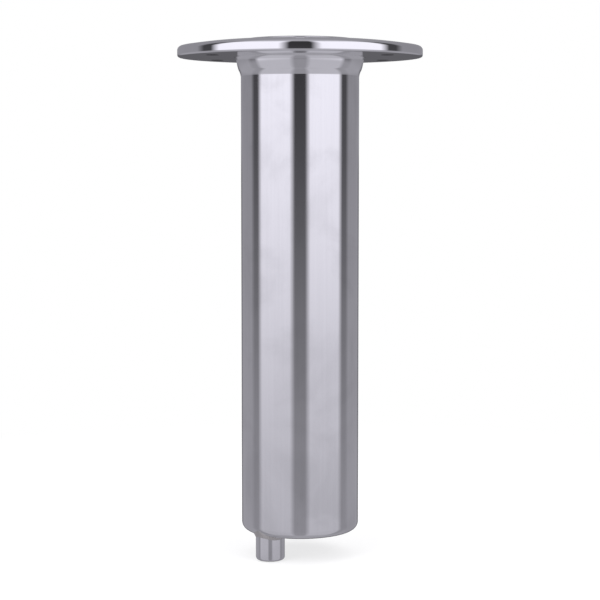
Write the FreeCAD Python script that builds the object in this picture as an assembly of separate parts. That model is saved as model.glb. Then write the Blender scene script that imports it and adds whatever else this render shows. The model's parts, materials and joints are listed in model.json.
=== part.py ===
"""Retractable deck bollard: a polished post that sleeps in a drained housing tube under a round flange.

The post lifts by a folding ring in its head, and a turn locks it: two pins run in a C-shaped track.
Millimetres. The origin is on the housing's axis, in the plane of the flange's underside, where the deck is.
+Z points up, out of the deck. The drain spigot is at the front left of the base, towards -X and -Y.
"""

import FreeCAD
import Part

import math
import os

Vector = FreeCAD.Vector
ORIGIN = Vector(0, 0, 0)
UP = Vector(0, 0, 1)

# Housing
tube_od = 60.3
tube_wall = 2.0
housing_depth = 243.0
base_plate = 5.0
base_step = 1.5
base_round = 4.0

# Deck flange
flange_od = 124.8
rim_height = 5.6
rim_top_round = 2.2
rim_low_round = 1.1
flange_crown = 2.7
crown_bulge = 0.65
spigot_length = 10.0
seat_recess = 0.6
collar_height = 9.5
collar_swell = 2.2
collar_root = 0.9
collar_root_height = 1.9
collar_shoulder = 1.1
collar_shoulder_height = 3.0
collar_bulge = 0.3
collar_hollow = 0.18
collar_lip = 0.1
collar_seat = 0.6
screw_count = 6
screw_pcd = 100.0
screw_hole_r = 3.3
screw_sink_r = 6.4
index_dimple_r = 1.1
index_inset = 3.8
index_angle = 90.0

# Drain
drain_inset = 1.25
drain_socket = 1.0
drain_od = 14.8
drain_bore = 9.0
drain_length = 13.0
drain_angle = 225.0
drain_weld = 1.1
drain_weld_height = 2.4

# Post and head
post_od = 45.0
post_wall = 4.0
head_od = 56.0
head_thickness = 6.9
head_crown = 1.0
head_round = 0.9
head_boss = 14.0
ledge_height = 2.0
ledge_thickness = 1.4

# Guide stack
guide_length = 46.0
wiper_height = 4.4
buffer_thickness = 4.0
buffer_gap = 0.7
sleeve_wall = 2.8
dowel_r = 1.0
dowel_reach = 3.0

# Foot of the post
foot_length = 34.0
foot_spigot = 15.0
lock_pin_r = 4.0
lock_pin_height = 20.0
lock_turn = 60.0
nut_pocket_r = 12.0
nut_pocket_depth = 11.0
boss_r = 15.0
boss_length = 5.6
friction_ring_r = 1.2
friction_ring_drop = 5.0
ring_ease = 0.02
wear_ring_rise = 2.6
wear_ring_height = 8.0
wear_ring_thickness = 1.7
wear_ring_split = 1.2
head_seal_r = 0.9

# Tie rod
rod_r = 5.0
rod_cover = 3.0
rod_tail = 0.4
washer_r = 10.0
washer_thickness = 2.0
nut_flats = 16.0
nut_thickness = 8.0

# Balance spring and what carries it
spring_room = 29.0
spring_mean_r = 19.2
wire_r = 0.75
spring_turns = 12
seat_floor = 2.0
seat_lip = 4.0
seat_gap = 0.5
seat_brim = 1.8
cup_floor = 1.5
cup_lip = 4.6
cup_gap = 0.7
thrust_thickness = 1.5
thrust_reach = 2.0
circlip_thickness = 1.2
circlip_reach = 2.0
circlip_groove = 0.75
circlip_opening = 6.0
seat_screw_r = 2.5
screw_head_r = 4.5
screw_head_height = 3.0

# Lifting ring
ring_wire_r = 2.0
ring_half_width = 13.0
ring_arm = 12.0
knuckle_r = 2.7
knuckle_length = 5.0
hinge_y = 9.0
hinge_pin_r = 1.3
ring_gap = 0.7
ring_proud = 0.1
pocket_floor_gap = 0.25
pin_grip = 4.5
scoop_r = 9.0
scoop_inset = 1.5
scoop_floor = 0.6

# Clearances
running_gap = 0.08
turning_gap = 0.15
recess_gap = 0.4
lip_gap = 0.8
pin_tip_gap = 0.6
pin_track_gap = 0.2
sliding_gap = 0.3
stop_gap = 0.2
seat_height = 0.4
fit_gap = 0.1
face_gap = 0.05
over = 1.0

# Radii that follow
tube_r = tube_od / 2
bore_r = tube_r - tube_wall
flange_r = flange_od / 2
neck_r = tube_r - collar_seat
collar_r = tube_r + collar_swell
collar_root_r = collar_r + collar_root
rim_r = flange_r - rim_top_round
post_r = post_od / 2
post_bore_r = post_r - post_wall
head_r = head_od / 2
insert_r = bore_r - fit_gap
track_r = insert_r - sleeve_wall
foot_r = track_r - sliding_gap
lip_r = post_r + lip_gap
recess_r = head_r + recess_gap
guide_r = post_r + running_gap
head_boss_r = post_bore_r - face_gap
pin_root_r = nut_pocket_r - over
pin_tip_r = bore_r - pin_tip_gap
friction_groove_r = track_r - fit_gap - 2 * friction_ring_r
wear_groove_r = track_r - fit_gap - wear_ring_thickness
seal_centre_r = (lip_r + recess_r) / 2
pin_reach = ring_half_width + ring_wire_r + ring_gap + pin_grip
drain_r = drain_od / 2
drain_bore_r = drain_bore / 2
drain_place_r = tube_r - drain_r - drain_inset
drain_x = drain_place_r * math.cos(math.radians(drain_angle))
drain_y = drain_place_r * math.sin(math.radians(drain_angle))

# Heights that follow, from the deck plane down
floor_z = -housing_depth
tube_foot_z = floor_z + base_plate
base_top_z = tube_foot_z + base_step
spring_low_z = base_top_z + seat_floor
spring_high_z = spring_low_z + spring_room
thrust_low_z = spring_high_z + cup_floor + face_gap
foot_z = thrust_low_z + thrust_thickness + face_gap
shoulder_z = foot_z + foot_length
pin_z = foot_z + lock_pin_height
head_z = ledge_height + seat_height
head_edge_z = head_z + head_thickness
head_top_z = head_edge_z + head_crown
wiper_top_z = ledge_height - ledge_thickness - face_gap
wiper_low_z = wiper_top_z - wiper_height
guide_low_z = wiper_low_z - guide_length
buffer_low_z = guide_low_z - buffer_thickness
stroke = buffer_low_z - stop_gap - shoulder_z
drain_socket_z = tube_foot_z - drain_socket
seat_screw_foot_z = floor_z + base_plate / 2
seat_top_z = spring_low_z + seat_lip
circlip_z = spring_high_z - fit_gap - circlip_thickness
friction_z = shoulder_z - friction_ring_drop
wear_low_z = foot_z + wear_ring_rise
nut_top_z = foot_z + nut_pocket_depth - washer_thickness
rod_top_z = head_z - rod_cover
seal_z = ledge_height + face_gap + head_seal_r
ring_z = head_edge_z - ring_wire_r + ring_proud
pocket_z = ring_z - knuckle_r - pocket_floor_gap


def lathe(start, *steps):
    """Turn a closed outline of (radius, height) points about Z. A pair of points as a step is an arc."""

    def place(point):
        return Vector(point[0], 0, point[1])

    edges, here = [], start
    for step in (*steps, start):
        if isinstance(step[0], tuple):
            middle, end = step
            edges.append(Part.Arc(place(here), place(middle), place(end)).toShape())
        else:
            end = step
            edges.append(Part.makeLine(place(here), place(end)))
        here = end
    turned = Part.Face(Part.Wire(edges)).revolve(ORIGIN, UP, 360)
    if turned.Volume < 0:
        turned.reverse()
    return turned


def round_corner(centre, radius, from_angle, to_angle):
    """An arc step for lathe: its middle and its end, on a circle about centre, angles in degrees."""
    points = []
    for angle in ((from_angle + to_angle) / 2, to_angle):
        turn = math.radians(angle)
        points.append((centre[0] + radius * math.cos(turn), centre[1] + radius * math.sin(turn)))
    return tuple(points)


def sleeve(inner_r, outer_r, low_z, high_z):
    """A plain ring."""
    return lathe((inner_r, low_z), (outer_r, low_z), (outer_r, high_z), (inner_r, high_z))


def rod(radius, low_z, high_z, x=0.0, y=0.0):
    """A plain upright cylinder."""
    return Part.makeCylinder(radius, high_z - low_z, Vector(x, y, low_z), UP)


def cross_rod(radius, start_x, end_x, y, z):
    """A plain cylinder along X."""
    return Part.makeCylinder(radius, end_x - start_x, Vector(start_x, y, z), Vector(1, 0, 0))


def polar(radius, angle, z=0.0):
    """The point at a radius and an angle in degrees."""
    turn = math.radians(angle)
    return Vector(radius * math.cos(turn), radius * math.sin(turn), z)


def sector(inner_r, outer_r, low_z, high_z, from_angle, sweep):
    """A ring's slice of sweep degrees."""
    corners = [
        Vector(inner_r, 0, low_z),
        Vector(outer_r, 0, low_z),
        Vector(outer_r, 0, high_z),
        Vector(inner_r, 0, high_z),
    ]
    face = Part.Face(Part.makePolygon([*corners, corners[0]]))
    face.rotate(ORIGIN, UP, from_angle)
    return face.revolve(ORIGIN, UP, sweep)


def crown_height(radius):
    """The height of the flange's top at a radius: an even rise to the recess and a parabola that bulges."""
    share = (rim_r - radius) / (rim_r - recess_r)
    return rim_height + flange_crown * share + 4 * crown_bulge * share * (1 - share)


def deck_flange():
    inner_rise = crown_height(recess_r)
    middle_r = (rim_r + recess_r) / 2
    lead = 0.5
    disc = lathe(
        (track_r, -spigot_length),
        (bore_r, -spigot_length),
        (bore_r, seat_recess),
        (collar_root_r + fit_gap, seat_recess),
        (collar_root_r + fit_gap, 0),
        (flange_r - rim_low_round, 0),
        round_corner((flange_r - rim_low_round, rim_low_round), rim_low_round, -90, 0),
        (flange_r, rim_height - rim_top_round),
        round_corner((rim_r, rim_height - rim_top_round), rim_top_round, 0, 90),
        ((middle_r, crown_height(middle_r)), (recess_r + lead, inner_rise)),
        (recess_r, inner_rise - lead),
        (recess_r, ledge_height),
        (lip_r, ledge_height),
        (lip_r, ledge_height - ledge_thickness),
        (track_r, ledge_height - ledge_thickness),
    )
    sink_top_z = crown_height(screw_pcd / 2)
    sink_low_z = sink_top_z - (screw_sink_r - screw_hole_r)
    for number in range(screw_count):
        spot = polar(screw_pcd / 2, (number + 0.5) * 360 / screw_count)
        hole = rod(screw_hole_r, -over, sink_top_z + over, spot.x, spot.y)
        sink = Part.makeCone(
            screw_hole_r,
            screw_sink_r + over,
            sink_top_z + over - sink_low_z,
            Vector(spot.x, spot.y, sink_low_z),
            UP,
        )
        disc = disc.cut(hole).cut(sink)
    for angle in (index_angle, index_angle + lock_turn):
        disc = disc.cut(index_dimple(recess_r + index_inset, angle, inner_rise))
    return disc


def index_dimple(radius, angle, surface_z):
    """A shallow dot that shows where the lock stands."""
    return Part.makeSphere(index_dimple_r, polar(radius, angle, surface_z + index_dimple_r * 0.55))


def bowed(start, end, bow):
    """The middle of an arc between two (radius, height) points on the way up that stands out by bow."""
    run = Vector(end[0] - start[0], 0, end[1] - start[1]).normalize()
    return (start[0] + end[0]) / 2 + bow * run.z, (start[1] + end[1]) / 2 - bow * run.x


def neck_collar():
    """The collar under the flange has a hollow foot, a full shoulder and a hollow root."""
    foot = (tube_r + collar_lip, -collar_height)
    shoulder = (tube_r + collar_shoulder, collar_shoulder_height - collar_height)
    root = (collar_r, -collar_root_height)
    rim = (collar_root_r, 0)
    return lathe(
        (neck_r, -collar_height),
        foot,
        (bowed(foot, shoulder, -collar_hollow), shoulder),
        (bowed(shoulder, root, collar_bulge), root),
        (bowed(root, rim, -collar_hollow), rim),
        (collar_root_r, seat_recess),
        (neck_r, seat_recess),
    )


def housing_tube():
    """The tube. Its mouth is turned down a little where the collar is pressed on."""
    return lathe(
        (bore_r, tube_foot_z),
        (tube_r, tube_foot_z),
        (tube_r, -collar_height),
        (neck_r, -collar_height),
        (neck_r, seat_recess),
        (bore_r, seat_recess),
    )


def dowel_spots():
    middle_r = (track_r + insert_r) / 2
    return [polar(middle_r, angle) for angle in (90.0, 330.0)]


def base_cap():
    flat_r = tube_r - base_round
    round_z = floor_z + base_round
    plate = lathe(
        (0, floor_z),
        (flat_r, floor_z),
        round_corner((flat_r, round_z), base_round, -90, 0),
        (tube_r, tube_foot_z),
        (bore_r, tube_foot_z),
        (bore_r, base_top_z),
        (0, base_top_z),
    )
    plate = plate.cut(rod(drain_r, floor_z - over, drain_socket_z, drain_x, drain_y))
    plate = plate.cut(rod(drain_bore_r, floor_z, base_top_z + over, drain_x, drain_y))
    plate = plate.cut(rod(seat_screw_r, seat_screw_foot_z, base_top_z + over))
    for spot in dowel_spots():
        plate = plate.cut(rod(dowel_r, base_top_z - dowel_reach, base_top_z + over, spot.x, spot.y))
    return plate




def drain_nipple():
    """A short spigot for a hose, with a weld round its root and a softened mouth."""
    low_z = floor_z - drain_length
    mouth = 1.6
    weld_r = drain_r + drain_weld
    spigot = lathe(
        (drain_bore_r, low_z),
        (drain_r - mouth, low_z),
        round_corner((drain_r - mouth, low_z + mouth), mouth, -90, 0),
        (drain_r, floor_z - drain_weld_height),
        ((drain_r + drain_weld * 0.35, floor_z - drain_weld_height * 0.4), (weld_r, floor_z)),
        (drain_r, floor_z),
        (drain_r, drain_socket_z),
        (drain_bore_r, drain_socket_z),
    )
    spigot.translate(Vector(drain_x, drain_y, 0))
    return spigot


def guide_bush():
    """The long plastic bush that steers the post; its step hangs under the flange's spigot."""
    step_z = -spigot_length - face_gap
    return lathe(
        (guide_r, guide_low_z),
        (insert_r, guide_low_z),
        (insert_r, step_z),
        (track_r - fit_gap, step_z),
        (track_r - fit_gap, wiper_low_z - face_gap),
        (guide_r, wiper_low_z - face_gap),
    )


def wiper_seal():
    """A rubber ring with a lip that wipes the post as it comes down."""
    outer_r = track_r - fit_gap
    lip_seal_r = post_r + face_gap
    waist_r = lip_seal_r + 0.9
    lip_low_z = wiper_top_z - 1.1
    return lathe(
        (waist_r, wiper_low_z),
        (outer_r, wiper_low_z),
        (outer_r, wiper_top_z),
        (lip_seal_r + 0.2, wiper_top_z),
        (lip_seal_r, wiper_top_z - 0.4),
        (lip_seal_r, lip_low_z),
        (waist_r, lip_low_z - 1.2),
    )


def stop_buffer():
    """The rubber ring that the foot's shoulder meets when the post is all the way up."""
    return sleeve(post_r + buffer_gap, insert_r, buffer_low_z, guide_low_z - face_gap)


def track_sleeve():
    """The steel sleeve with two C-shaped tracks, cut right through, for the lock pins."""
    shell = sleeve(track_r, insert_r, base_top_z, buffer_low_z - face_gap)
    half = lock_pin_r + pin_track_gap
    inside = track_r - over
    outside = insert_r + over
    raised_z = pin_z + stroke
    for start in (0.0, 180.0):
        run = Part.makeBox(outside - inside, 2 * half, stroke, Vector(inside, -half, pin_z))
        run.rotate(ORIGIN, UP, start)
        shell = shell.cut(run)
        for arm_z in (pin_z, raised_z):
            arm = sector(inside, outside, arm_z - half, arm_z + half, start, lock_turn)
            shell = shell.cut(arm)
            for end in (0.0, lock_turn):
                nose = Part.makeCylinder(
                    half, outside - inside, polar(inside, start + end, arm_z), polar(1, start + end)
                )
                shell = shell.cut(nose)
    notch_r = drain_bore_r + over
    shell = shell.cut(rod(notch_r, base_top_z - over, base_top_z + notch_r, drain_x, drain_y))
    for spot in dowel_spots():
        shell = shell.cut(rod(dowel_r, base_top_z - over, base_top_z + dowel_reach, spot.x, spot.y))
    return shell


def sleeve_dowels():
    """Two dowels that stop the track sleeve turning on the base."""
    return Part.makeCompound(
        [rod(dowel_r, base_top_z - dowel_reach, base_top_z + dowel_reach, s.x, s.y) for s in dowel_spots()]
    )


def spring_seat():
    """A plastic top-hat that centres the spring's lower end."""
    locating_r = spring_mean_r - wire_r - seat_gap
    brim_r = spring_mean_r + wire_r + seat_brim
    pocket = seat_top_z - screw_head_height
    hat = lathe(
        (seat_screw_r + fit_gap, base_top_z),
        (brim_r, base_top_z),
        (brim_r, spring_low_z),
        (locating_r, spring_low_z),
        (locating_r, seat_top_z),
        (screw_head_r + seat_gap, seat_top_z),
        (screw_head_r + seat_gap, pocket),
        (seat_screw_r + fit_gap, pocket),
    )
    notch_r = drain_bore_r + seat_gap
    return hat.cut(rod(notch_r, base_top_z - over, spring_low_z + over, drain_x, drain_y))


def seat_screw():
    """A round-headed screw with a hexagon socket."""
    head_low_z = seat_top_z - screw_head_height
    slope = 1.2
    socket_flats = 3.0
    socket_depth = 1.8
    screw = lathe(
        (0, seat_screw_foot_z),
        (seat_screw_r, seat_screw_foot_z),
        (seat_screw_r, head_low_z),
        (screw_head_r, head_low_z),
        (screw_head_r, seat_top_z - slope),
        (screw_head_r - slope, seat_top_z),
        (0, seat_top_z),
    )
    return screw.cut(hexagon(socket_flats, seat_top_z - socket_depth, seat_top_z + over))


def hexagon(flats, low_z, high_z):
    """A six-sided bar, measured across its flats."""
    corner_r = flats / math.sqrt(3)
    corners = [polar(corner_r, 60 * number, low_z) for number in range(7)]
    return Part.Face(Part.makePolygon(corners)).extrude(Vector(0, 0, high_z - low_z))


def balance_spring():
    """The wire coil that carries most of the post's weight: a chain of tilted half turns of round wire."""
    low_z = spring_low_z + wire_r + face_gap
    rise = spring_room - 2 * wire_r - 2 * face_gap

    def place(half_turns):
        return polar(spring_mean_r, 180 * half_turns, low_z + rise * half_turns / (2 * spring_turns))

    halves = []
    for number in range(2 * spring_turns):
        halves.append(Part.Arc(place(number), place(number + 0.5), place(number + 1)).toShape())
    first = halves[0]
    section = Part.makeCircle(wire_r, place(0), first.tangentAt(first.FirstParameter))
    return Part.Wire(halves).makePipeShell([Part.Wire([section])], True, True)


def spring_cup():
    """The steel cup over the spring's upper end. It rises with the post but doesn't turn with it."""
    wall_r = spring_mean_r + wire_r + cup_gap
    return lathe(
        (boss_r + turning_gap, spring_high_z),
        (wall_r, spring_high_z),
        (wall_r, spring_high_z - cup_lip),
        (wall_r + cup_floor, spring_high_z - cup_lip),
        (wall_r + cup_floor, spring_high_z + cup_floor),
        (boss_r + turning_gap, spring_high_z + cup_floor),
    )


def thrust_washer():
    """The slippery washer on which the foot turns."""
    outer_r = spring_mean_r + wire_r + thrust_reach
    return sleeve(boss_r + turning_gap, outer_r, thrust_low_z, thrust_low_z + thrust_thickness)



def cup_circlip():
    """The open ring that holds the cup and washer on the foot's boss."""
    high_z = circlip_z + circlip_thickness
    ring = sleeve(boss_r - circlip_groove, boss_r + circlip_reach, circlip_z, high_z)
    opening = Part.makeBox(
        boss_r * 2,
        circlip_opening,
        circlip_thickness + 2 * over,
        Vector(0, -circlip_opening / 2, circlip_z - over),
    )
    return ring.cut(opening)


def foot_block():
    """The block in the post's lower end, which carries the lock pins and slides in the track sleeve."""
    bore = rod_r + 2 * fit_gap
    pocket_top_z = foot_z + nut_pocket_depth
    spigot_z = shoulder_z + foot_spigot
    ease = 0.8
    block = lathe(
        (bore, spigot_z),
        (head_boss_r, spigot_z),
        (head_boss_r, shoulder_z),
        (foot_r - ease, shoulder_z),
        (foot_r, shoulder_z - ease),
        (foot_r, foot_z + ease),
        (foot_r - ease, foot_z),
        (boss_r, foot_z),
        (boss_r, foot_z - boss_length),
        (nut_pocket_r, foot_z - boss_length),
        (nut_pocket_r, pocket_top_z),
        (bore, pocket_top_z),
    )
    half = friction_ring_r + fit_gap
    grooves = [
        sleeve(friction_groove_r, foot_r + over, friction_z - half, friction_z + half),
        sleeve(wear_groove_r, foot_r + over, wear_low_z, wear_low_z + wear_ring_height + fit_gap),
        sleeve(
            boss_r - circlip_groove,
            boss_r + over,
            circlip_z - face_gap,
            circlip_z + circlip_thickness + face_gap,
        ),
    ]
    block = block.cut(grooves)
    for start in (0.0, 180.0):
        hole = Part.makeCylinder(
            lock_pin_r, foot_r, polar(pin_root_r, start, pin_z), polar(1, start)
        )
        block = block.cut(hole)
    return block






def friction_ring():
    """The rubber ring whose drag stops the post rattling."""
    return Part.makeTorus(
        friction_groove_r + friction_ring_r, friction_ring_r - ring_ease, Vector(0, 0, friction_z), UP
    )


def wear_ring():
    """The split plastic band that keeps the foot off the sleeve."""
    low_z = wear_low_z + face_gap
    band = sleeve(wear_groove_r, track_r - fit_gap, low_z, wear_low_z + wear_ring_height)
    split = Part.makeBox(foot_r * 2, wear_ring_split, foot_length, Vector(0, -wear_ring_split / 2, foot_z))
    split.rotate(ORIGIN, UP, 45)
    return band.cut(split)


def lock_pins():
    """Two pins, pressed into the foot, that run in the tracks."""
    pins = []
    chamfer = 0.5
    for start in (0.0, 180.0):
        pin = Part.makeCylinder(lock_pin_r, pin_tip_r - pin_root_r, ORIGIN, UP)
        pin = pin.makeChamfer(chamfer, [edge for edge in pin.Edges if len(edge.Vertexes) == 1])
        pin.rotate(ORIGIN, Vector(0, 1, 0), 90)
        pin.translate(Vector(pin_root_r, 0, pin_z))
        pin.rotate(ORIGIN, UP, start)
        pins.append(pin)
    return Part.makeCompound(pins)


def post_tube():
    return sleeve(post_bore_r, post_r, shoulder_z, head_z)


def ring_pocket():
    """The D-shaped pocket in the head, with a thumb scoop at its round end."""
    reach = ring_half_width + ring_wire_r + ring_gap
    top_z = head_top_z + over
    turn_y = hinge_y - ring_arm
    back_y = hinge_y + knuckle_r + ring_gap
    straight = Part.makeBox(
        2 * reach, back_y - turn_y, top_z - pocket_z, Vector(-reach, turn_y, pocket_z)
    )
    bend = rod(reach, pocket_z, top_z, 0, turn_y)
    scoop_z = pocket_z + scoop_r + scoop_floor
    scoop = Part.makeSphere(scoop_r, Vector(0, turn_y - reach + scoop_inset, scoop_z))
    return straight.fuse(bend).fuse(scoop).removeSplitter()


def head_cap():
    """The mushroom head: it closes the flange, keeps the rope on and holds the lifting ring."""
    ease = 0.5
    head = lathe(
        (0, head_z - head_boss),
        (head_boss_r, head_z - head_boss),
        (head_boss_r, head_z),
        (head_r - ease, head_z),
        (head_r, head_z + ease),
        (head_r, head_edge_z - head_round),
        round_corner((head_r - head_round, head_edge_z - head_round), head_round, 0, 90),
        ((head_r / 2, head_edge_z + head_crown * 0.78), (0, head_top_z)),
    )
    groove = head_seal_r + fit_gap
    head = head.cut(sleeve(seal_centre_r - groove, seal_centre_r + groove, head_z - over, seal_z + groove))
    head = head.cut(rod(rod_r, head_z - head_boss - over, rod_top_z))
    head = head.cut(ring_pocket())
    head = head.cut(cross_rod(hinge_pin_r, -pin_reach, head_r + over, hinge_y, ring_z))
    return head.cut(index_dimple(head_r - index_inset, index_angle, head_edge_z + head_crown * 0.2))




def head_seal():
    """The rubber ring between the head and the flange's ledge."""
    return Part.makeTorus(seal_centre_r, head_seal_r, Vector(0, 0, seal_z), UP)



def tie_rod():
    """The rod that clamps head, post and foot together."""
    return rod(rod_r, nut_top_z - nut_thickness - rod_tail, rod_top_z)



def tie_washer():
    return sleeve(rod_r, washer_r, nut_top_z, nut_top_z + washer_thickness)


def tie_nut():
    """A hexagon nut with its corners turned down."""
    low_z = nut_top_z - nut_thickness
    nut = hexagon(nut_flats, low_z, nut_top_z)
    corner_r = nut_flats / math.sqrt(3)
    ease = 0.8
    turned = lathe(
        (0, low_z),
        (corner_r - ease, low_z),
        (corner_r + 0.1, low_z + ease),
        (corner_r + 0.1, nut_top_z - ease),
        (corner_r - ease, nut_top_z),
        (0, nut_top_z),
    )
    return nut.common(turned).cut(rod(rod_r, low_z - over, nut_top_z + over))



def ring_pin():
    """The hinge pin that the lifting ring swings on."""
    return cross_rod(hinge_pin_r, -pin_reach, pin_reach, hinge_y, ring_z)


def lift_ring():
    """The folding ring: two arms and a half circle of round bar, with a knuckle on each arm."""
    turn_y = hinge_y - ring_arm
    half = ring_half_width
    points = [
        Vector(half, hinge_y, ring_z),
        Vector(half, turn_y, ring_z),
        Vector(0, turn_y - half, ring_z),
        Vector(-half, turn_y, ring_z),
        Vector(-half, hinge_y, ring_z),
    ]
    path = Part.Wire(
        [
            Part.makeLine(points[0], points[1]),
            Part.Arc(points[1], points[2], points[3]).toShape(),
            Part.makeLine(points[3], points[4]),
        ]
    )
    section = Part.Wire([Part.makeCircle(ring_wire_r, points[0], Vector(0, 1, 0))])
    bail = path.makePipeShell([section], True, True)
    for side in (-1, 1):
        middle_x = side * half
        knuckle = cross_rod(
            knuckle_r, middle_x - knuckle_length / 2, middle_x + knuckle_length / 2, hinge_y, ring_z
        )
        bail = bail.fuse(knuckle)
    far = half + knuckle_length
    return bail.cut(cross_rod(hinge_pin_r + running_gap, -far, far, hinge_y, ring_z)).removeSplitter()


BUILDERS = [
    deck_flange,
    neck_collar,
    housing_tube,
    base_cap,
    drain_nipple,
    guide_bush,
    wiper_seal,
    stop_buffer,
    track_sleeve,
    sleeve_dowels,
    spring_seat,
    seat_screw,
    balance_spring,
    spring_cup,
    thrust_washer,
    cup_circlip,
    foot_block,
    friction_ring,
    wear_ring,
    lock_pins,
    post_tube,
    head_cap,
    head_seal,
    tie_rod,
    tie_washer,
    tie_nut,
    ring_pin,
    lift_ring,
]

os.makedirs("parts", exist_ok=True)
print("stroke %.2f, pin height %.2f, hinge at y %.2f z %.2f" % (stroke, pin_z, hinge_y, ring_z))
for builder in BUILDERS:
    shape = builder()
    name = builder.__name__
    shape.exportStep("parts/%s.step" % name)
    print("%-15s solids %d valid %s volume %.1f" % (name, len(shape.Solids), shape.isValid(), shape.Volume))
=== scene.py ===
# %% [markdown]
# # A retractable deck bollard
# A polished steel post sleeps inside a round housing tube, under a round flange that is screwed to a deck.
# Only the flange and the post's low head show on the deck. The tube, its collar and a short drain spigot
# hang below. This notebook dresses the ready-made mechanical parts. It sets the camera and the light first,
# because polished steel has no look of its own: what one sees on it is the room. Then come the finishes,
# and then the surfaces.

import json
import math

import bmesh
import bpy
import numpy as np
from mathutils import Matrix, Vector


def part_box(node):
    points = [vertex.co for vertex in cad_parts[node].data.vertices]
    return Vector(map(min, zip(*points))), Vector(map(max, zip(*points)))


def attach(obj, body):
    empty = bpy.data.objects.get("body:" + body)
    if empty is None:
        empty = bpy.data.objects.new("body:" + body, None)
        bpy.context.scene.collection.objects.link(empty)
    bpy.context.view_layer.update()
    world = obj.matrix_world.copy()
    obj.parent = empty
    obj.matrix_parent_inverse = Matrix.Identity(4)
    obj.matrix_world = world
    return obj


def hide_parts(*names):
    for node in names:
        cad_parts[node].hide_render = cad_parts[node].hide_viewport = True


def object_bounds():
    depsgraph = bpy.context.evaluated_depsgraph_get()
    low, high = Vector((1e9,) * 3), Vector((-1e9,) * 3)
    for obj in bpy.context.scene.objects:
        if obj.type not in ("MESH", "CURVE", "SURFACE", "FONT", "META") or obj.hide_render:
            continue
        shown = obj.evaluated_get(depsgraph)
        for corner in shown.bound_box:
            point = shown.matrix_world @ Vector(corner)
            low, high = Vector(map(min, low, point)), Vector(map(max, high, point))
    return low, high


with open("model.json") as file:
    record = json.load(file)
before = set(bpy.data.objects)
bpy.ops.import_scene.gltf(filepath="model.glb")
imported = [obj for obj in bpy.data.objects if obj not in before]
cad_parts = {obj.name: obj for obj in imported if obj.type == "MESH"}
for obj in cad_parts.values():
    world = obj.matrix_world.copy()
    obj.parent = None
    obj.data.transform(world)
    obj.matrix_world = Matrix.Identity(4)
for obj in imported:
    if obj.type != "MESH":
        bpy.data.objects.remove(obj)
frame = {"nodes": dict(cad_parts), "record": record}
cad_box = [list(corner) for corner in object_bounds()]
nodes = frame["nodes"]
mm = 0.001
print("CAD box in mm:", [[round(value / mm, 1) for value in corner] for corner in cad_box])

# %% [markdown]
# ## The camera
# The bollard is seen from straight in front, from just under the flange, with a long lens that looks a
# little down. From there the flange is a thin bright band and its dark underside just shows.

# %% The camera
camera_distance = 0.8825
camera_height = -0.0475
camera_pitch = math.radians(4.947)
lens_length = 103.1

camera_data = bpy.data.cameras.new("camera")
camera_data.sensor_width = 36.0
camera_data.lens = lens_length
camera = bpy.data.objects.new("camera", camera_data)
camera.location = (0.0, -camera_distance, camera_height)
camera.rotation_euler = (math.pi / 2 - camera_pitch, 0.0, 0.0)
bpy.context.collection.objects.link(camera)
bpy.context.scene.camera = camera
bpy.context.scene.view_settings.view_transform = "Standard"
print("lens %.1f mm, %.0f mm away" % (camera_data.lens, camera_distance / mm))


# %% [markdown]
# ## Small helpers for node trees
# Every finish and the room are node trees, so two short functions save much typing: one adds a node and
# sets its fields and sockets, and one joins two sockets.


# %% Node helpers
def add_node(tree, kind, **values):
    """A new node. A value named like one of its sockets is set there, and any other is one of its fields."""
    node = tree.nodes.new(kind)
    for name, value in values.items():
        socket = node.inputs.get(name.replace("_", " "))
        if socket is None:
            setattr(node, name, value)
        else:
            socket.default_value = value
    return node


def join(tree, source, target):
    """A link from an output socket to an input socket."""
    tree.links.new(source, target)


def math_node(tree, operation, first, second=None):
    """A Math node. Each operand is a number or a socket. The result is the node's output socket."""
    node = tree.nodes.new("ShaderNodeMath")
    node.operation = operation
    for index, operand in enumerate((first, second)):
        if operand is None:
            continue
        if isinstance(operand, (int, float)):
            node.inputs[index].default_value = operand
        else:
            join(tree, operand, node.inputs[index])
    return node.outputs[0]


def map_range(tree, value, low, high, to_low=0.0, to_high=1.0, smooth=False):
    """A Map Range node: value from low..high to to_low..to_high, clamped."""
    node = tree.nodes.new("ShaderNodeMapRange")
    node.interpolation_type = "SMOOTHSTEP" if smooth else "LINEAR"
    for index, number in enumerate((low, high, to_low, to_high), start=1):
        node.inputs[index].default_value = number
    join(tree, value, node.inputs[0])
    return node.outputs[0]


def ramp(tree, value, stops):
    """A Color Ramp through (place, (red, green, blue)) stops."""
    node = tree.nodes.new("ShaderNodeValToRGB")
    elements = node.color_ramp.elements
    while len(elements) < len(stops):
        elements.new(1.0)
    for element, (place, colour) in zip(elements, stops):
        element.position = place
        element.color = (*colour, 1.0)
    join(tree, value, node.inputs[0])
    return node.outputs[0]


def mix_colour(tree, factor, first, second, blend="MIX"):
    """A Mix node for colours. The factor and both colours are values or sockets."""
    node = tree.nodes.new("ShaderNodeMix")
    node.data_type = "RGBA"
    node.blend_type = blend
    for socket, operand in ((node.inputs[0], factor), (node.inputs[6], first), (node.inputs[7], second)):
        if hasattr(operand, "is_linked"):
            join(tree, operand, socket)
        elif isinstance(operand, tuple):
            socket.default_value = (*operand, 1.0)
        else:
            socket.default_value = operand
    return node.outputs[2]


# %% [markdown]
# ## The room
# Polished steel shows whatever stands around it, so the room is a plain studio. The camera stands in a dark
# gap between two wide white panels. Past the panels' outer edges is a black cloth, and past that a grey
# wall. All of it is the same on the left and on the right. The panels fade downwards into a pale table top,
# and the ceiling is a soft light grey. The room is painted by direction in the World, because real panels
# would stand in front of other views. Each surface has one light value, where 1 is white.

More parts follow.
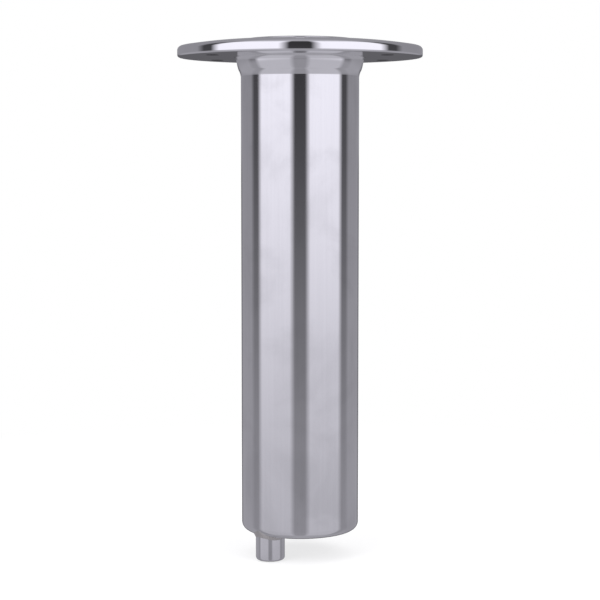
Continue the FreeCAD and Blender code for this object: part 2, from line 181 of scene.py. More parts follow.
# %% The surfaces of the room
room_tint = (0.98, 0.96, 1.06)
camera_gap_light = 0.04
panel_light = 1.1
cloth_light = 0.06
wall_light = 0.3
ceiling_light = 0.45
table_light = 0.4
under_light = 0.12
camera_gap_edge = 15.0
panel_edge = 85.0
cloth_edge = 105.0
edge_softness = 5.0


def painted(light):
    """The colour of a surface of the room: its light in the room's faint lilac tint."""
    return tuple(light * channel for channel in room_tint)


def surface_stops():
    """Ramp stops over the angle away from the camera, 0 to 180 degrees: each surface runs to a soft edge."""
    stops = []
    surfaces = (camera_gap_light, panel_light, cloth_light, wall_light)
    for edge, before, after in zip((camera_gap_edge, panel_edge, cloth_edge), surfaces, surfaces[1:]):
        stops.append(((edge - edge_softness) / 180, painted(before)))
        stops.append(((edge + edge_softness) / 180, painted(after)))
    return stops


print("room stops:", [round(place, 3) for place, colour in surface_stops()])

# %% The room
world = bpy.data.worlds.new("room")
bpy.context.scene.world = world
world.use_nodes = True
tree = world.node_tree
tree.nodes.clear()
direction = add_node(tree, "ShaderNodeTexCoord").outputs["Generated"]
parts = add_node(tree, "ShaderNodeSeparateXYZ")
join(tree, direction, parts.inputs[0])
side, depth, rise = parts.outputs
turn = math_node(tree, "ARCTAN2", side, math_node(tree, "MULTIPLY", depth, -1.0))
away_from_camera = math_node(tree, "ABSOLUTE", turn)
level_part = math_node(tree, "SUBTRACT", 1.0, math_node(tree, "MULTIPLY", rise, rise))
slope = math_node(tree, "ARCTAN2", rise, math_node(tree, "SQRT", level_part))
walls = ramp(tree, map_range(tree, away_from_camera, 0.0, math.pi), surface_stops())
up = map_range(tree, slope, math.radians(40), math.radians(80), smooth=True)
walls = mix_colour(tree, up, walls, painted(ceiling_light))
low = map_range(tree, slope, math.radians(5), math.radians(-15), to_high=0.8, smooth=True)
walls = mix_colour(tree, low, walls, painted(table_light))
behind = map_range(tree, away_from_camera, math.radians(150), math.radians(168), smooth=True)
lowish = map_range(tree, slope, math.radians(0.5), math.radians(-1.0), smooth=True)
walls = mix_colour(tree, math_node(tree, "MULTIPLY", behind, lowish), walls, painted(under_light))
down = map_range(tree, slope, math.radians(-45), math.radians(-70), smooth=True)
walls = mix_colour(tree, down, walls, painted(table_light))
seen = add_node(tree, "ShaderNodeBackground", Strength=1.0)
join(tree, walls, seen.inputs["Color"])
backdrop = add_node(tree, "ShaderNodeBackground", Color=(1.0, 1.0, 1.0, 1.0), Strength=1.0)
rays = add_node(tree, "ShaderNodeLightPath")
choose = add_node(tree, "ShaderNodeMixShader")
join(tree, rays.outputs["Is Camera Ray"], choose.inputs[0])
join(tree, seen.outputs[0], choose.inputs[1])
join(tree, backdrop.outputs[0], choose.inputs[2])
world_out = add_node(tree, "ShaderNodeOutputWorld")
join(tree, choose.outputs[0], world_out.inputs[0])
print("room nodes:", len(tree.nodes))

# %% [markdown]
# ## The floor and the lamps
# The bollard's drain spigot just clears a wide pale floor. The lamps above it are large and soft, and are
# left out of reflections, so they light the rubber and the plastic without showing up as extra shapes on
# the steel.

# %% The floor
floor_z = cad_box[0][2] - 0.4 * mm
floor_reach = 6.0
floor_mesh = bpy.data.meshes.new("floor")
corners = [(-floor_reach, -floor_reach), (floor_reach, -floor_reach), (floor_reach, floor_reach)]
corners.append((-floor_reach, floor_reach))
floor_mesh.from_pydata([(x, y, floor_z) for x, y in corners], [], [(0, 1, 2, 3)])
floor = bpy.data.objects.new("floor", floor_mesh)
bpy.context.collection.objects.link(floor)
floor.visible_glossy = False

floor_finish = bpy.data.materials.new("pale_floor")
floor_finish.use_nodes = True
tree = floor_finish.node_tree
tree.nodes.clear()
paint = add_node(tree, "ShaderNodeBsdfDiffuse", Color=(0.96, 0.96, 0.96, 1.0))
glow = add_node(tree, "ShaderNodeEmission", Color=(1.0, 1.0, 1.0, 1.0), Strength=1.0)
place = add_node(tree, "ShaderNodeTexCoord").outputs["Object"]
reach = add_node(tree, "ShaderNodeVectorMath", operation="LENGTH")
join(tree, place, reach.inputs[0])
away = map_range(tree, reach.outputs["Value"], 0.1, 0.5, 0.55, 1.0)
blend = add_node(tree, "ShaderNodeMixShader")
join(tree, away, blend.inputs[0])
join(tree, paint.outputs[0], blend.inputs[1])
join(tree, glow.outputs[0], blend.inputs[2])
see_through = add_node(tree, "ShaderNodeBsdfTransparent")
which_side = add_node(tree, "ShaderNodeNewGeometry")
choose = add_node(tree, "ShaderNodeMixShader")
join(tree, which_side.outputs["Backfacing"], choose.inputs[0])
join(tree, blend.outputs[0], choose.inputs[1])
join(tree, see_through.outputs[0], choose.inputs[2])
floor_out = add_node(tree, "ShaderNodeOutputMaterial")
join(tree, choose.outputs[0], floor_out.inputs[0])
floor_mesh.materials.append(floor_finish)


# %% The lamps
def soft_lamp(name, place, size, power):
    """A square area lamp that looks at the middle of the bollard and stays out of reflections."""
    data = bpy.data.lights.new(name, "AREA")
    data.size = size
    data.energy = power
    lamp = bpy.data.objects.new(name, data)
    lamp.location = place
    bpy.context.collection.objects.link(lamp)
    middle = np.array([0.0, 0.0, -0.1])
    away = np.array(place) - middle
    lamp.rotation_euler = (math.acos(away[2] / np.linalg.norm(away)), 0.0, math.atan2(away[0], -away[1]))
    lamp.visible_glossy = False
    lamp.visible_camera = False
    return lamp


soft_lamp("lamp_above", (0.0, 0.0, 3.0), 5.0, 120.0)
soft_lamp("lamp_left", (-1.4, -1.6, 1.3), 1.2, 22.0)
soft_lamp("lamp_right", (1.5, -1.2, 1.0), 1.2, 16.0)

# %% [markdown]
# ## Marks of the workshop
# Polished steel is never quite even. The buffing wheel and the drawing die leave fine lines, and handling
# leaves soft smudges that spread the reflections a little. One node group holds both, so that every metal
# here can use it with its own direction of line. It stretches a noise along one axis for the lines and
# keeps a second, larger noise for the smudges. It puts out a shade, a roughness and a height.

# %% The node group for lines and smudges
marks_tree = bpy.data.node_groups.new("workshop_marks", "ShaderNodeTree")
for socket_name, kind, first_value in (
    ("Stretch", "NodeSocketVector", (1.0, 1.0, 1.0)),
    ("Line Scale", "NodeSocketFloat", 900.0),
    ("Smudge Scale", "NodeSocketFloat", 28.0),
    ("Smooth", "NodeSocketFloat", 0.05),
    ("Rough", "NodeSocketFloat", 0.12),
    ("Darken", "NodeSocketFloat", 0.04),
):
    socket = marks_tree.interface.new_socket(name=socket_name, in_out="INPUT", socket_type=kind)
    socket.default_value = first_value
for socket_name in ("Shade", "Roughness", "Height"):
    marks_tree.interface.new_socket(name=socket_name, in_out="OUTPUT", socket_type="NodeSocketFloat")
given = marks_tree.nodes.new("NodeGroupInput").outputs
put = marks_tree.nodes.new("NodeGroupOutput").inputs
spot = add_node(marks_tree, "ShaderNodeTexCoord").outputs["Object"]
stretched = add_node(marks_tree, "ShaderNodeVectorMath", operation="MULTIPLY")
join(marks_tree, spot, stretched.inputs[0])
join(marks_tree, given["Stretch"], stretched.inputs[1])
lines = add_node(marks_tree, "ShaderNodeTexNoise", Detail=5.0, Roughness=0.65)
join(marks_tree, stretched.outputs[0], lines.inputs["Vector"])
join(marks_tree, given["Line Scale"], lines.inputs["Scale"])
smudges = add_node(marks_tree, "ShaderNodeTexNoise", Detail=4.0, Roughness=0.55, Distortion=0.6)
join(marks_tree, spot, smudges.inputs["Vector"])
join(marks_tree, given["Smudge Scale"], smudges.inputs["Scale"])
smudge = map_range(marks_tree, smudges.outputs["Fac"], 0.42, 0.68, smooth=True)
line = lines.outputs["Fac"]
spread = math_node(marks_tree, "SUBTRACT", given["Rough"], given["Smooth"])
smudge_share = math_node(marks_tree, "MULTIPLY", smudge, 0.6)
line_share = math_node(marks_tree, "MULTIPLY", line, 0.4)
worn = math_node(marks_tree, "ADD", smudge_share, line_share)
rough = math_node(marks_tree, "ADD", given["Smooth"], math_node(marks_tree, "MULTIPLY", spread, worn))
join(marks_tree, rough, put["Roughness"])
loss = math_node(marks_tree, "MULTIPLY", given["Darken"], math_node(marks_tree, "ADD", line, smudge))
join(marks_tree, math_node(marks_tree, "SUBTRACT", 1.0, loss), put["Shade"])
join(marks_tree, line, put["Height"])
print("marks group nodes:", len(marks_tree.nodes))

# %% [markdown]
# ## The metals
# Five metals differ only in colour, in how sharp their reflections are, and in which way their lines run.
# Flange and head are buffed to a mirror. The tube was drawn, so its lines run along it. Hidden parts are
# only machined, so their lines run around them and their reflections are soft. The spring wire is darker.
# The weld has a straw-coloured tint, the trace of the heat.


# %% A metal
def metal(name, colour, smooth, rough, stretch, line_scale=900.0, depth=0.02, darken=0.04):
    """A metal with the workshop's marks: the group gives shade, roughness and height."""
    finish = bpy.data.materials.new(name)
    finish.use_nodes = True
    tree = finish.node_tree
    shader = tree.nodes["Principled BSDF"]
    shader.inputs["Metallic"].default_value = 1.0
    marks = tree.nodes.new("ShaderNodeGroup")
    marks.node_tree = marks_tree
    for socket_name, value in (
        ("Stretch", stretch),
        ("Line Scale", line_scale),
        ("Smooth", smooth),
        ("Rough", rough),
        ("Darken", darken),
    ):
        marks.inputs[socket_name].default_value = value
    shade = mix_colour(tree, 1.0, colour, marks.outputs["Shade"], blend="MULTIPLY")
    join(tree, shade, shader.inputs["Base Color"])
    join(tree, marks.outputs["Roughness"], shader.inputs["Roughness"])
    bump = add_node(tree, "ShaderNodeBump", Strength=depth, Distance=0.0002)
    join(tree, marks.outputs["Height"], bump.inputs["Height"])
    join(tree, bump.outputs[0], shader.inputs["Normal"])
    return finish


along = (1.0, 1.0, 0.015)
around = (0.12, 0.12, 1.0)
any_way = (1.0, 1.0, 1.0)
mirror_steel = metal("mirror_steel", (0.87, 0.87, 0.88), 0.02, 0.07, any_way, line_scale=260.0, depth=0.01)
drawn_steel = metal(
    "drawn_steel", (0.84, 0.84, 0.85), 0.035, 0.12, along, line_scale=700.0, depth=0.03, darken=0.09
)
machined_steel = metal("machined_steel", (0.62, 0.62, 0.64), 0.18, 0.32, around, depth=0.15, darken=0.08)
spring_wire = metal("spring_wire", (0.42, 0.42, 0.45), 0.22, 0.36, any_way, depth=0.1, darken=0.1)
weld_steel = metal(
    "weld_steel", (0.74, 0.72, 0.69), 0.26, 0.42, any_way, line_scale=500.0, depth=0.2, darken=0.1
)
print("metals:", [m.name for m in bpy.data.materials if m.use_nodes and "steel" in m.name])

# %% [markdown]
# ## Rubber and plastic
# The seals are black nitrile rubber: dull, with a fine moulded grain and a faint grey bloom where it has
# been rubbed. The bushes are white acetal, a slippery plastic that lets a little light into its surface.


# %% Rubber and plastic
def moulded(name, dark, light, low, high, grain_scale, depth):
    """A moulded material: a fine grain gives the bump, and a cloud mixes two colours and two roughnesses."""
    finish = bpy.data.materials.new(name)
    finish.use_nodes = True
    tree = finish.node_tree
    shader = tree.nodes["Principled BSDF"]
    spot = add_node(tree, "ShaderNodeTexCoord").outputs["Object"]
    cloud = add_node(tree, "ShaderNodeTexNoise", Scale=90.0, Detail=4.0)
    grain = add_node(tree, "ShaderNodeTexNoise", Scale=grain_scale, Detail=3.0)
    join(tree, spot, cloud.inputs["Vector"])
    join(tree, spot, grain.inputs["Vector"])
    worn = map_range(tree, cloud.outputs["Fac"], 0.4, 0.7, smooth=True)
    join(tree, mix_colour(tree, worn, dark, light), shader.inputs["Base Color"])
    join(tree, map_range(tree, worn, 0.0, 1.0, low, high), shader.inputs["Roughness"])
    bump = add_node(tree, "ShaderNodeBump", Strength=depth, Distance=0.0002)
    join(tree, grain.outputs["Fac"], bump.inputs["Height"])
    join(tree, bump.outputs[0], shader.inputs["Normal"])
    return finish


nitrile_rubber = moulded("nitrile_rubber", (0.018, 0.018, 0.02), (0.04, 0.04, 0.042), 0.5, 0.68, 2600.0, 0.35)
white_acetal = moulded("white_acetal", (0.8, 0.79, 0.74), (0.86, 0.85, 0.81), 0.32, 0.42, 1500.0, 0.08)
index_enamel = moulded("index_enamel", (0.012, 0.012, 0.014), (0.02, 0.02, 0.022), 0.15, 0.25, 800.0, 0.05)
print("moulded:", nitrile_rubber.name, white_acetal.name, index_enamel.name)

# %% Every mechanical part gets its finish
finish_of_slot = {
    "mirror_steel": mirror_steel,
    "tube_steel": drawn_steel,
    "machined_steel": machined_steel,
    "spring_wire": spring_wire,
    "acetal": white_acetal,
    "seal_rubber": nitrile_rubber,
}
slot_of_node = {part["node"]: part["material_slot"] for part in frame["record"]["subparts"]}
for node_name, node in nodes.items():
    for holder in node.material_slots:
        holder.material = finish_of_slot[slot_of_node[node_name]]
print("parts finished:", len(nodes))

# %% [markdown]
# ## Surfaces turned on a lathe
# Nearly everything here is turned, so one function makes all of it. An outline is a list of corners as
# radius and height in millimetres, each with the radius of its rounding. The function replaces each corner
# by an arc that touches both sides: it starts the rounding's radius times the tangent of half the turn
# before the corner. Then it carries the outline around the axis. Sharp corners catch no light, and a real
# edge always has a small rounding.


# %% Outlines
def rounded_outline(corners, closed=True, steps=6):
    """Points of an outline with arcs for corners. Each corner is (radius, height, rounding) in millimetres."""
    count = len(corners)
    spots = np.array([corner[:2] for corner in corners], dtype=float)
    points = []
    for index, corner in enumerate(corners):
        rounding = corner[2]
        here = spots[index]
        if not closed and index in (0, count - 1):
            points.append(here)
            continue
        to_last = spots[index - 1] - here
        to_next = spots[(index + 1) % count] - here
        to_last = to_last / np.linalg.norm(to_last)
        to_next = to_next / np.linalg.norm(to_next)
        inner_angle = math.acos(float(np.clip(to_last @ to_next, -1.0, 1.0)))
        if rounding <= 0 or inner_angle > math.pi - 0.01:
            points.append(here)
            continue
        setback = rounding / math.tan(inner_angle / 2)
        middle = to_last + to_next
        centre = here + middle / np.linalg.norm(middle) * rounding / math.sin(inner_angle / 2)
        start = here + to_last * setback - centre
        sweep = math.pi - inner_angle
        turn_way = 1.0 if start[0] * (here - centre)[1] - start[1] * (here - centre)[0] > 0 else -1.0
        angles = np.linspace(0.0, sweep * turn_way, steps + 1)
        cosine = np.cos(angles)
        sine = np.sin(angles)
        arc = np.stack([start[0] * cosine - start[1] * sine, start[0] * sine + start[1] * cosine], axis=1)
        points.extend(centre + arc)
    return np.array(points)


def densified(outline, closed=True, longest=3.0):
    """The outline with long straight runs divided, so that no step is longer than a given length."""
    following = np.roll(outline, -1, axis=0) if closed else outline[1:]
    filled = []
    for start, end in zip(outline, following):
        pieces = max(1, math.ceil(np.linalg.norm(end - start) / longest))
        shares = np.arange(pieces)[:, None] / pieces
        filled.append(start + (end - start) * shares)
    if not closed:
        filled.append(outline[-1:])
    return np.concatenate(filled)


def turned_grid(outline, segments, centre=(0.0, 0.0)):
    """The outline carried round the Z axis: x is radius times cosine, y is radius times sine. Metres."""
    angle = np.linspace(0.0, 2 * math.pi, segments, endpoint=False)
    radius = outline[:, 0][:, None] * mm
    x = centre[0] * mm + radius * np.cos(angle)
    y = centre[1] * mm + radius * np.sin(angle)
    z = np.broadcast_to(outline[:, 1][:, None] * mm, x.shape)
    return np.stack([x, y, z], axis=2)


# %% [markdown]
# ## From grids to a piece
# Each surface is a grid of points. A piece is one or more grids. Their faces are the squares between
# neighbouring points, worked out as whole arrays of indices. Grids that share an edge are joined by merging
# points that fall together, and the normals are then turned outwards. Corners above a stated angle stay
# sharp.


# %% Grids to pieces
def squares(rows, columns, first, close_rows, close_columns):
    """Indices of the squares of a grid whose points start at first. A closed direction joins its two ends."""
    row_count = rows if close_rows else rows - 1
    column_count = columns if close_columns else columns - 1
    row = np.arange(row_count)[:, None]
    column = np.arange(column_count)[None, :]
    below = (row + 1) % rows
    beside = (column + 1) % columns
    faces = np.stack(
        [row * columns + column, row * columns + beside, below * columns + beside, below * columns + column],
        axis=2,
    )
    return faces.reshape(-1, 4) + first


def piece_from_grids(name, grids, finish, body, sharp_degrees=35.0):
    """A mesh piece from (points, close rows, close columns) grids, merged, turned outwards and finished."""
    points = []
    faces = []
    first = 0
    for grid, close_rows, close_columns in grids:
        rows, columns, _ = grid.shape
        faces.append(squares(rows, columns, first, close_rows, close_columns))
        points.append(grid.reshape(-1, 3))
        first += rows * columns
    mesh = bpy.data.meshes.new(name)
    mesh.from_pydata(np.concatenate(points).tolist(), [], np.concatenate(faces).tolist())
    work = bmesh.new()
    work.from_mesh(mesh)
    bmesh.ops.remove_doubles(work, verts=work.verts, dist=0.002 * mm)
    bmesh.ops.dissolve_degenerate(work, edges=work.edges, dist=0.0005 * mm)
    bmesh.ops.recalc_face_normals(work, faces=work.faces)
    open_edges = sum(1 for edge in work.edges if not edge.is_manifold)
    work.to_mesh(mesh)
    work.free()
    mesh.shade_smooth()
    mesh.set_sharp_from_angle(angle=math.radians(sharp_degrees))
    mesh.materials.append(finish)
    piece = bpy.data.objects.new(name, mesh)
    bpy.context.collection.objects.link(piece)
    even = piece.modifiers.new("even_shading", "WEIGHTED_NORMAL")
    even.keep_sharp = True
    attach(piece, body)
    print("%s: %d points, %d faces, %d open edges" % (name, len(mesh.vertices), len(mesh.polygons), open_edges))
    return piece


# %% [markdown]
# ## The housing tube and its collar
# The tube is plain pipe. The collar under the flange bulges down to it and ends in a low step, and its root
# curves out into the flange's underside. Both are turned outlines with many segments, so that the bands of
# the room run straight down the steel and don't break into facets.

# %% Sizes of the housing, in millimetres
low_corner, high_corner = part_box("housing_tube")
tube_r = high_corner[0] / mm
tube_foot = low_corner[2] / mm
tube_top = high_corner[2] / mm
tube_wall = 2.0
collar_height = 9.5
neck_r = tube_r - 0.6
collar_lip = 0.1
collar_shoulder = 1.1
collar_shoulder_height = 3.0
collar_swell = 2.2
collar_root = 0.9
collar_root_height = 1.9
foot = (tube_r + collar_lip, -collar_height)
shoulder = (tube_r + collar_shoulder, collar_shoulder_height - collar_height)
root = (tube_r + collar_swell, -collar_root_height)
collar_rim = (tube_r + collar_swell + collar_root, 0.0)
collar_bulge = 0.16
collar_hollow = 0.18
print("tube radius %.2f, foot at %.1f, top at %.1f" % (tube_r, tube_foot, tube_top))

# %% The housing tube
tube_outline = rounded_outline(
    [
        (tube_r - tube_wall, tube_foot, 0),
        (tube_r, tube_foot, 0),
        (tube_r, -collar_height, 0),
        (neck_r, -collar_height, 0),
        (neck_r, tube_top, 0),
        (tube_r - tube_wall, tube_top, 0),
    ]
)
tube_grid = turned_grid(densified(tube_outline, longest=20.0), 320)
tube_shell = piece_from_grids("tube_shell", [(tube_grid, True, True)], drawn_steel, "housing")
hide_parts("housing_tube")


# %% The collar
def bowed_run(start, end, bow, steps=12):
    """A run that stands out sideways by a parabola: bow times four times share times the rest."""
    share = np.linspace(0.0, 1.0, steps + 1)[:, None]
    start = np.array(start, dtype=float)
    end = np.array(end, dtype=float)
    outward = np.array([end[1] - start[1], start[0] - end[0]])
    outward = outward / np.linalg.norm(outward)
    return start + (end - start) * share + outward * bow * 4 * share * (1 - share)


collar_outline = np.concatenate(
    [
        [(neck_r, -collar_height)],
        bowed_run(foot, shoulder, -collar_hollow),
        bowed_run(shoulder, root, collar_bulge)[1:],
        bowed_run(root, collar_rim, -collar_hollow)[1:],
        [(collar_rim[0], tube_top), (neck_r, tube_top)],
    ]
)
collar_grid = turned_grid(collar_outline, 320)
collar_rows = [(collar_grid, True, True)]
collar_piece = piece_from_grids("collar", collar_rows, mirror_steel, "housing")
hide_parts("neck_collar")

# %% [markdown]
# ## The drain spigot and its weld
# The spigot is a short turned pipe with a softened mouth. It is welded to the base, and a weld laid by hand
# is a row of overlapping ripples like fallen coins. So the bead is a ring whose thickness goes up and down
# with the angle.

# %% The drain spigot
low_corner, high_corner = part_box("drain_nipple")
drain_x = (low_corner[0] + high_corner[0]) / 2 / mm
drain_y = (low_corner[1] + high_corner[1]) / 2 / mm
spigot_foot = low_corner[2] / mm
spigot_top = high_corner[2] / mm
floor_of_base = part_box("base_cap")[0][2] / mm
spigot_r = 7.4
spigot_bore_r = 4.5
spigot_outline = rounded_outline(
    [
        (spigot_bore_r, spigot_foot, 0.5),
        (spigot_r, spigot_foot, 1.6),
        (spigot_r, spigot_top, 0),
        (spigot_bore_r, spigot_top, 0),
    ],
    steps=8,
)
spigot_grid = turned_grid(densified(spigot_outline), 96, (drain_x, drain_y))
spigot = piece_from_grids("drain_spigot", [(spigot_grid, True, True)], drawn_steel, "housing")
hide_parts("drain_nipple")

# %% The weld bead
bead_segments = 240
bead_steps = 18
ripples = 44
bead_reach = 1.1
bead_height = 1.7
base_round = 4.0


def base_skin(x, y):
    """Height of the base's underside: flat in the middle, then the quarter circle of its rounding."""
    over_edge = np.clip(np.hypot(x, y) - (tube_r - base_round), 0.0, base_round)
    return floor_of_base + base_round - np.sqrt(base_round**2 - over_edge**2)


around_turn = np.linspace(0.0, 2 * math.pi, bead_segments, endpoint=False)
ripple = 1.0 + 0.1 * np.abs(np.sin(around_turn * ripples / 2)) + 0.05 * np.sin(around_turn * 5 + 0.7)
across = np.linspace(0.0, math.pi / 2, bead_steps)[:, None]
# the bead's section goes out along the base by the cosine and down along the spigot by the sine, hollow between
hollow = 1.0 - 0.25 * np.sin(2 * across)
bead_radius = spigot_r - 0.1 + bead_reach * ripple * np.cos(across) * hollow
bead_x = drain_x + bead_radius * np.cos(around_turn)
bead_y = drain_y + bead_radius * np.sin(around_turn)
bead_z = base_skin(bead_x, bead_y) + 0.1 - bead_height * ripple * np.sin(across) * hollow
inner_x = drain_x + (spigot_r - 0.1) * np.cos(around_turn)[None]
inner_y = drain_y + (spigot_r - 0.1) * np.sin(around_turn)[None]
skin = np.stack([bead_x, bead_y, bead_z], axis=2)
inner_edge = np.stack([inner_x, inner_y, base_skin(inner_x, inner_y) + 0.3], axis=2)
bead_grid = np.concatenate([skin, inner_edge]) * mm
piece_from_grids("drain_weld", [(bead_grid, True, True)], weld_steel, "housing", 60.0)

# %% [markdown]
# ## The deck flange
# The flange is a disc that rises a little from its rounded rim to the recess for the head, with six
# countersunk holes. Its rim and its inside are turned. Its top and underside have holes, so they can't be
# plain turned grids. Each sixth of them is a grid that runs from the edge of its hole out to the edge of
# its sector: one parameter goes around the hole and the other goes outwards, and points in between are
# mixed in a straight line. The height of the top is then a formula of the radius alone, so that all six
# sixths meet smoothly.

# %% Sizes of the flange, in millimetres
flange_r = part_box("deck_flange")[1][0] / mm
rim_height = 5.6
rim_top_round = 2.2
rim_low_round = 1.1
rim_r = flange_r - rim_top_round
recess_r = 28.4
lead = 0.5
crown_rise = 2.7
crown_bulge = 0.65
screw_count = 6
screw_circle_r = 50.0
screw_hole_r = 3.3
sink_r = 6.4
sector_steps = 40
side_steps = 24
print("flange radius %.2f, %d screws on a circle of %.0f" % (flange_r, screw_count, 2 * screw_circle_r))


# %% The flange's surfaces
def crown(radius):
    """Height of the flange's top at a radius: a straight rise inwards plus a parabola."""
    share = (rim_r - radius) / (rim_r - recess_r)
    return rim_height + crown_rise * share + 4 * crown_bulge * share * (1 - share)


def sector_outline(inner_r, outer_r):
    """Points around one sector, centred on +X: along its outer arc, in along a side, back along its inner arc."""
    half = math.pi / screw_count
    arc = np.linspace(-half, half, sector_steps + 1)
    reach = np.linspace(0.0, 1.0, side_steps + 1)[1:-1]
    inward = outer_r + (inner_r - outer_r) * reach
    outer = np.stack([outer_r * np.cos(arc), outer_r * np.sin(arc)], axis=1)
    left = np.stack([inward * math.cos(half), inward * math.sin(half)], axis=1)
    inner = np.stack([inner_r * np.cos(arc[::-1]), inner_r * np.sin(arc[::-1])], axis=1)
    right = np.stack([inward[::-1] * math.cos(half), -inward[::-1] * math.sin(half)], axis=1)
    return np.concatenate([outer, left, inner, right])


def holed_sector(inner_r, outer_r, hole_r, rings=14):
    """Plane points of a sector with a hole: straight mixes from the hole's edge to the sector's edge."""
    edge = sector_outline(inner_r, outer_r)
    centre = np.array([screw_circle_r, 0.0])
    way = edge - centre
    way = way / np.linalg.norm(way, axis=1)[:, None]
    rim = centre + way * hole_r
    share = (np.linspace(0.0, 1.0, rings + 1) ** 1.3)[:, None, None]
    return rim + (edge - rim) * share


def sixths(plane, heights):
    """Six turned copies of a grid of plane points with heights, as grids closed around their hole."""
    grids = []
    for number in range(screw_count):
        angle = (number + 0.5) * 2 * math.pi / screw_count
        x = plane[:, :, 0] * math.cos(angle) - plane[:, :, 1] * math.sin(angle)
        y = plane[:, :, 0] * math.sin(angle) + plane[:, :, 1] * math.cos(angle)
        grids.append((np.stack([x, y, heights], axis=2) * mm, False, True))
    return grids


top_inner_r = recess_r + lead
top_plane = holed_sector(top_inner_r, rim_r, sink_r)
top_height = crown(np.linalg.norm(top_plane, axis=2))
under_r = collar_rim[0] + 0.1
under_outer_r = flange_r - rim_low_round

# %% The screw holes
sink_edge = top_plane[0]
outwards = sink_edge - np.array([screw_circle_r, 0.0])
outwards = outwards / np.linalg.norm(outwards, axis=1)[:, None]
sink_low = crown(screw_circle_r) - (sink_r - screw_hole_r)
sink_shares = np.linspace(0.0, 1.0, 8)[:, None]
sink_radii = sink_r + (screw_hole_r - sink_r) * sink_shares
sink_plane = np.array([screw_circle_r, 0.0]) + outwards[None] * sink_radii[:, :, None]
sink_height = top_height[0] + (sink_low - top_height[0]) * sink_shares
wall_shares = np.linspace(0.0, 1.0, 4)[:, None]
wall_start = sink_plane[-1]
hole_plane = np.broadcast_to(wall_start, (4, *wall_start.shape))
hole_height = np.broadcast_to(sink_low * (1 - wall_shares), hole_plane.shape[:2])
print("countersink goes down to %.2f" % sink_low)

# %% [markdown]
# The hole's wall comes down at the angles of the top's grid, and the underside's grid has nearly the same
# angles but not quite. So the underside starts from the wall's own points, which closes the seam.

# %% The underside starts at the wall
share = (np.linspace(0.0, 1.0, 15) ** 1.3)[:, None, None]
under_plane = wall_start + (sector_outline(under_r, under_outer_r) - wall_start) * share
under_height = np.zeros(under_plane.shape[:2])

# %% The flange
rim_outline = rounded_outline(
    [
        (under_outer_r, 0.0, 0),
        (flange_r, 0.0, rim_low_round),
        (flange_r, rim_height, rim_top_round),
        (rim_r, rim_height, 0),
    ],
    closed=False,
    steps=12,
)
inside_outline = rounded_outline(
    [
        (top_inner_r, float(crown(top_inner_r)), 0),
        (recess_r, float(crown(top_inner_r)) - lead, 0.15),
        (recess_r, 2.0, 0.3),
        (23.3, 2.0, 0.3),
        (23.3, 0.6, 0),
        (25.25, 0.6, 0),
        (25.25, -10.0, 0),
        (tube_r - tube_wall, -10.0, 0),
        (tube_r - tube_wall, 0.6, 0),
        (under_r, 0.6, 0),
        (under_r, 0.0, 0),
    ],
    closed=False,
)
around_count = screw_count * sector_steps
flange_grids = [
    (turned_grid(rim_outline, around_count), False, True),
    (turned_grid(inside_outline, around_count), False, True),
    *sixths(top_plane, top_height),
    *sixths(sink_plane, sink_height),
    *sixths(hole_plane, hole_height),
    *sixths(under_plane, under_height),
]
flange = piece_from_grids("flange", flange_grids, mirror_steel, "housing")
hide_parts("deck_flange")

# %% [markdown]
# ## The index dots
# Two dots on the flange, read against the dimple in the head, show whether the post is free or locked. They
# are drops of black enamel: shallow domes, made as a disc whose height falls off with the square of the
# radius.


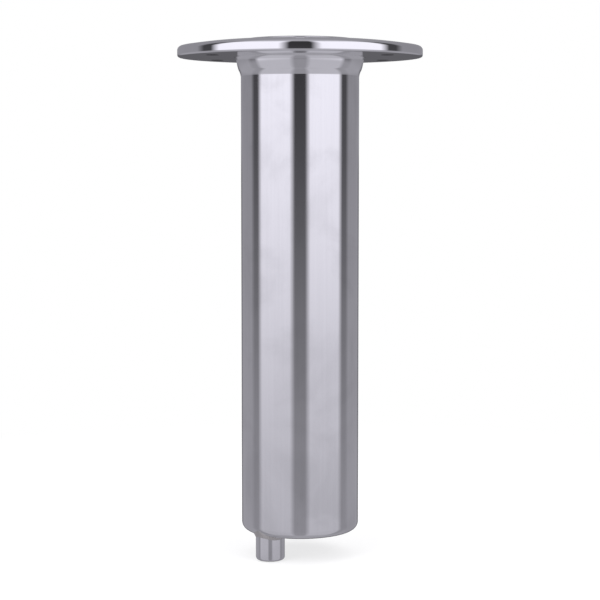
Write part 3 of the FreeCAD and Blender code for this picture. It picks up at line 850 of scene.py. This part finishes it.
# %% The index dots
def enamel_dot(name, radius, degrees, surface, body):
    """A dome: height is the dot's rise times one minus the squared share of its radius."""
    dot_r = 0.95
    dot_rise = 0.12
    share = np.linspace(0.02, 1.0, 9)[:, None]
    angle = np.linspace(0.0, 2 * math.pi, 32, endpoint=False)
    centre_x = radius * math.cos(math.radians(degrees))
    centre_y = radius * math.sin(math.radians(degrees))
    x = centre_x + dot_r * share * np.cos(angle)
    y = centre_y + dot_r * share * np.sin(angle)
    z = np.broadcast_to(surface + dot_rise * (1 - share**2), x.shape)
    dome = np.stack([x, y, z], axis=2)
    tip = np.broadcast_to(np.array([centre_x, centre_y, surface + dot_rise]), (1, 32, 3))
    foot = dome[-1:] - np.array([0.0, 0.0, 0.3])
    base = np.broadcast_to(np.array([centre_x, centre_y, surface - 0.3]), (1, 32, 3))
    grid = np.concatenate([tip, dome, foot, base]) * mm
    return piece_from_grids(name, [(grid, False, True)], index_enamel, body, 50.0)


index_r = recess_r + 3.8
enamel_dot("index_dot_free", index_r, 90.0, float(crown(index_r)), "housing")
enamel_dot("index_dot_locked", index_r, 150.0, float(crown(index_r)), "housing")

# %% [markdown]
# ## The balance spring
# Inside the tube a coil spring carries most of the post's weight. It is one round wire on a helix. The
# section is a circle that stands square to the wire, which takes three directions at each point: along the
# wire, away from the axis, and the one square to both. The ends are closed with a small cap.

# %% The spring
low_corner, high_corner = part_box("balance_spring")
spring_turns = 12
points_per_turn = 72
points_around_wire = 16
wire_r = 0.75
coil_r = (high_corner[0] - low_corner[0]) / 2 / mm - wire_r
first_z = low_corner[2] / mm + wire_r
last_z = high_corner[2] / mm - wire_r
travel = np.linspace(0.0, 2 * math.pi * spring_turns, spring_turns * points_per_turn + 1)
pitch = (last_z - first_z) / (2 * math.pi * spring_turns)
outward = np.stack([np.cos(travel), np.sin(travel), np.zeros_like(travel)], axis=1)
middle = outward * coil_r
middle[:, 2] = first_z + pitch * travel
forward = np.stack([-np.sin(travel) * coil_r, np.cos(travel) * coil_r, np.full_like(travel, pitch)], axis=1)
forward = forward / np.linalg.norm(forward, axis=1)[:, None]
upward = np.cross(forward, outward)
section = np.linspace(0.0, 2 * math.pi, points_around_wire, endpoint=False)[None, :, None]
around_wire = np.cos(section) * outward[:, None] + np.sin(section) * upward[:, None]
wire_grid = middle[:, None] + wire_r * around_wire
first_cap = np.repeat(middle[:1, None], points_around_wire, axis=1)
last_cap = np.repeat(middle[-1:, None], points_around_wire, axis=1)
wire_grid = np.concatenate([first_cap, wire_grid, last_cap]) * mm
coil = piece_from_grids("spring_coil", [(wire_grid, False, True)], spring_wire, "housing")
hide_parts("balance_spring")
